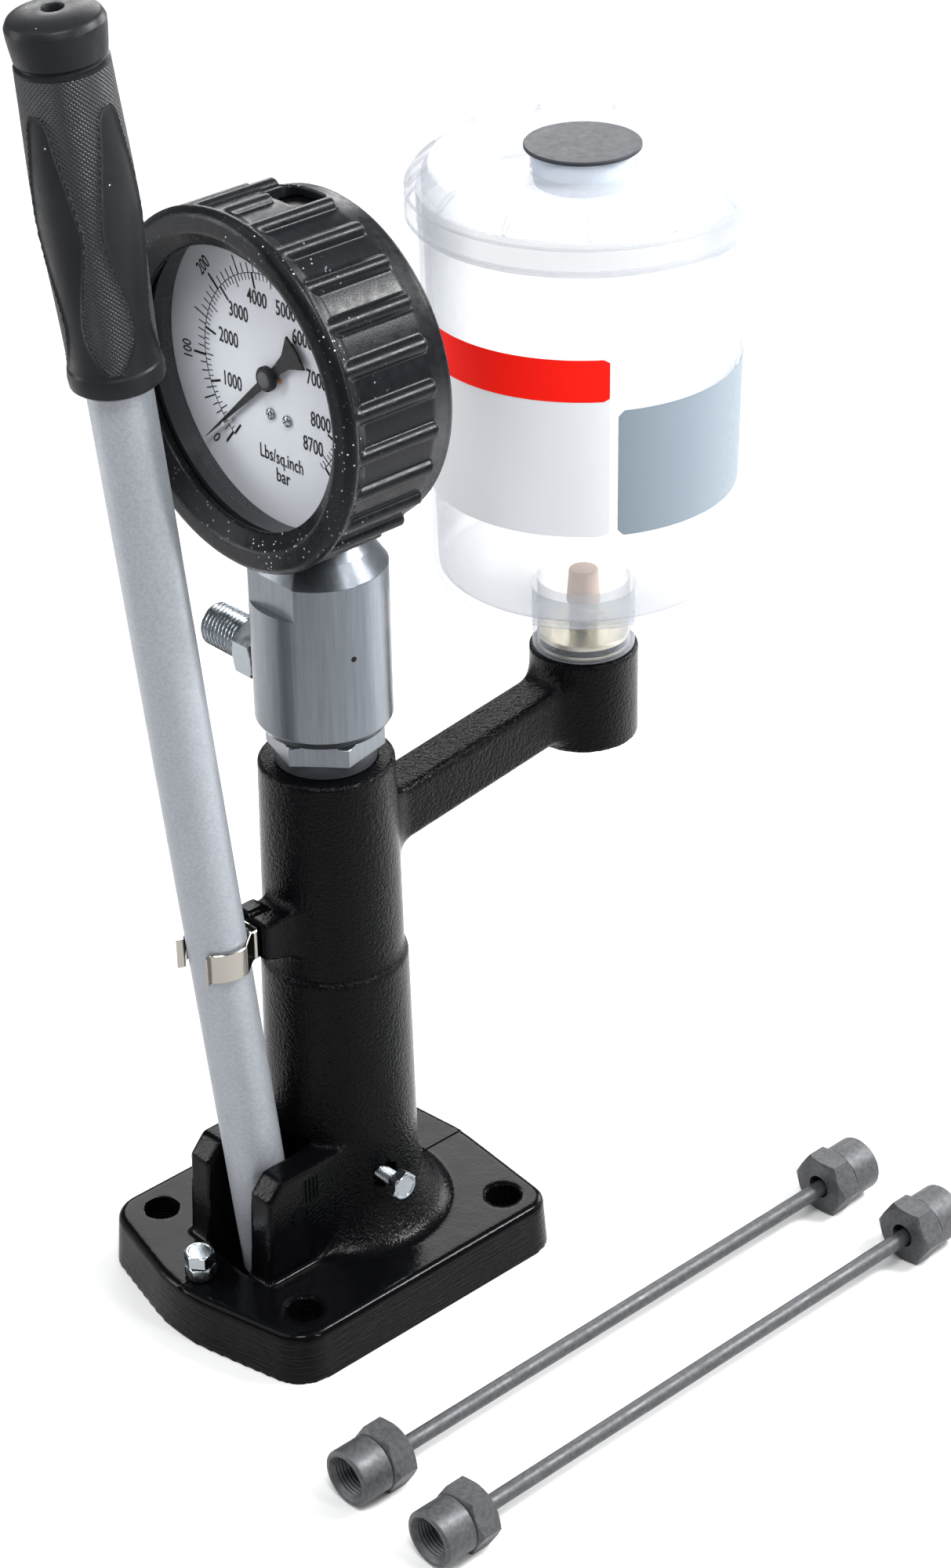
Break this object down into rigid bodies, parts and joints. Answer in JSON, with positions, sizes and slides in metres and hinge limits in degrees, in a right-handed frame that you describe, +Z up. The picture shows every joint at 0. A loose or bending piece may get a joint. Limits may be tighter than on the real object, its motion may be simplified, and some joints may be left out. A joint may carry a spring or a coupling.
{
  "type": "diesel injector tester",
  "caption": "Bench stand with a lever-driven high pressure pump, a rubber-booted pressure gauge, a clear fluid reservoir on an arm and two loose steel test lines.",
  "frame": {"origin": "underside of the base plate, on the axis of the column", "axes": "+Z up the column; +X towards the reservoir's arm, -X towards the lever and the gauge's face; +Y towards the outlet"},
  "size_m": [0.2916, 0.2275, 0.4996],
  "materials": {
    "cast_black_paint": "glossy black enamel over a cast skin, fine orange peel",
    "zinc_plate": "zinc plated, satin, turned and wiped",
    "bright_zinc": "bright zinc plating with fine turning lines",
    "bare_steel": "ground bare steel",
    "phosphated_steel": "dark grey phosphate, satin and mottled",
    "spring_steel": "nickel plated strip",
    "lever_steel": "silver grey, satin",
    "brass": "turned brass",
    "copper": "annealed copper",
    "filter_bronze": "sintered, matt",
    "black_rubber": "matt moulded rubber",
    "grip_rubber": "rubber with a fine diamond knurl",
    "clear_plastic": "natural milky polypropylene",
    "vent_plastic": "pale natural plastic",
    "dark_plastic": "satin charcoal plastic",
    "black_enamel": "black enamel, satin",
    "dial_face": "pale silver print ground",
    "glass": "flat clear pane"
  },
  "bodies": {
    "stand": {"base_casting": "cast_black_paint", "lever_pin": "bare_steel", "lever_clip": "spring_steel", "clip_screw": "bright_zinc", "column_seal_ring": "dark_plastic", "pump_body": "bright_zinc", "valve_block": "zinc_plate", "delivery_valve_spring": "bare_steel", "outlet_adapter": "bright_zinc", "outlet_washer": "copper", "gauge_case": "black_enamel", "gauge_stem": "brass", "bourdon_tube": "copper", "gauge_works": "brass", "gauge_dial": "dial_face", "dial_screw_1": "bare_steel", "dial_screw_2": "bare_steel", "pointer_stop_pin": "bare_steel", "gauge_glass": "glass", "gauge_bezel": "black_enamel", "gauge_boot": "black_rubber", "reservoir_fitting": "brass", "fitting_seal": "black_rubber", "reservoir_filter": "filter_bronze", "plunger_spring": "bare_steel"},
    "lever": {"lever_tube": "lever_steel", "lever_crank": "phosphated_steel", "lever_grip": "grip_rubber"},
    "plunger_set": {"tappet": "bare_steel", "plunger": "bare_steel", "plunger_keeper": "bare_steel"},
    "pointer": {"gauge_pointer": "black_enamel"},
    "valve": {"delivery_valve": "bare_steel"},
    "guide_screw_body": {"guide_screw": "bright_zinc"},
    "stop_screw_body": {"stop_screw": "bright_zinc"},
    "stop_nut_body": {"stop_lock_nut": "bright_zinc"},
    "reservoir": {"reservoir_body": "clear_plastic"},
    "lid": {"reservoir_lid": "clear_plastic"},
    "vent": {"vent_plug": "vent_plastic", "vent_cap": "dark_plastic"},
    "line_1": {"test_pipe_1": "phosphated_steel"},
    "line_2": {"test_pipe_2": "phosphated_steel"},
    "nut_1_front": {"pipe_1_front_nut": "phosphated_steel"},
    "nut_1_rear": {"pipe_1_rear_nut": "phosphated_steel"},
    "nut_2_front": {"pipe_2_front_nut": "phosphated_steel"},
    "nut_2_rear": {"pipe_2_rear_nut": "phosphated_steel"}
  },
  "joints": [
    {"name": "lever_swing", "type": "hinge", "parent": "stand", "child": "lever", "pos_m": [-0.04, 0, 0.044], "axis": [0, -1, 0], "range_deg": [0, 80], "deforming": ["lever_clip"]},
    {"name": "plunger_slide", "type": "slide", "parent": "stand", "child": "plunger_set", "axis": [0, 0, 1], "range_m": [0, 0.0541], "stiffness_N_per_m": 1200, "springref_m": -0.03, "deforming": ["plunger_spring"]},
    {"name": "pointer_turn", "type": "hinge", "parent": "stand", "child": "pointer", "pos_m": [-0.0174, 0, 0.3576], "axis": [1, 0, 0], "range_deg": [0, 270], "stiffness_Nm_per_rad": 0.0005, "springref_deg": -11.46},
    {"name": "valve_lift", "type": "slide", "parent": "stand", "child": "valve", "axis": [0, 0, 1], "range_m": [0, 0.0012], "stiffness_N_per_m": 300, "springref_m": -0.005, "deforming": ["delivery_valve_spring"]},
    {"name": "guide_screw_turn", "type": "hinge", "parent": "stand", "child": "guide_screw_body", "pos_m": [-0.003, -0.03, 0.046], "axis": [0, -1, 0], "range_deg": [0, 360]},
    {"name": "stop_screw_turn", "type": "hinge", "parent": "stand", "child": "stop_screw_body", "pos_m": [-0.0693, 0, 0.03], "axis": [0, 0, 1], "range_deg": [0, 360]},
    {"name": "stop_nut_turn", "type": "hinge", "parent": "stand", "child": "stop_nut_body", "pos_m": [-0.0693, 0, 0.0235], "axis": [0, 0, 1], "range_deg": [0, 360]},
    {"name": "reservoir_lift", "type": "slide", "parent": "stand", "child": "reservoir", "axis": [0, 0, 1], "range_m": [0, 0.05]},
    {"name": "lid_lift", "type": "slide", "parent": "reservoir", "child": "lid", "axis": [0, 0, 1], "range_m": [0, 0.06]},
    {"name": "vent_lift", "type": "slide", "parent": "lid", "child": "vent", "axis": [0, 0, 1], "range_m": [0, 0.04]},
    {"name": "line_1_lift", "type": "slide", "parent": "stand", "child": "line_1", "axis": [0, 0, 1], "range_m": [0, 0.1]},
    {"name": "line_2_lift", "type": "slide", "parent": "stand", "child": "line_2", "axis": [0, 0, 1], "range_m": [0, 0.1]},
    {"name": "nut_1_front_slide", "type": "slide", "parent": "line_1", "child": "nut_1_front", "axis": [1, 0, 0], "range_m": [0, 0.09]},
    {"name": "nut_1_rear_slide", "type": "slide", "parent": "line_1", "child": "nut_1_rear", "axis": [-1, 0, 0], "range_m": [0, 0.09]},
    {"name": "nut_2_front_slide", "type": "slide", "parent": "line_2", "child": "nut_2_front", "axis": [1, 0, 0], "range_m": [0, 0.09]},
    {"name": "nut_2_rear_slide", "type": "slide", "parent": "line_2", "child": "nut_2_rear", "axis": [-1, 0, 0], "range_m": [0, 0.09]}
  ],
  "couplings": [
    {"joint": "plunger_slide", "follows": "lever_swing", "m_per_rad": 0.03867}
  ]
}
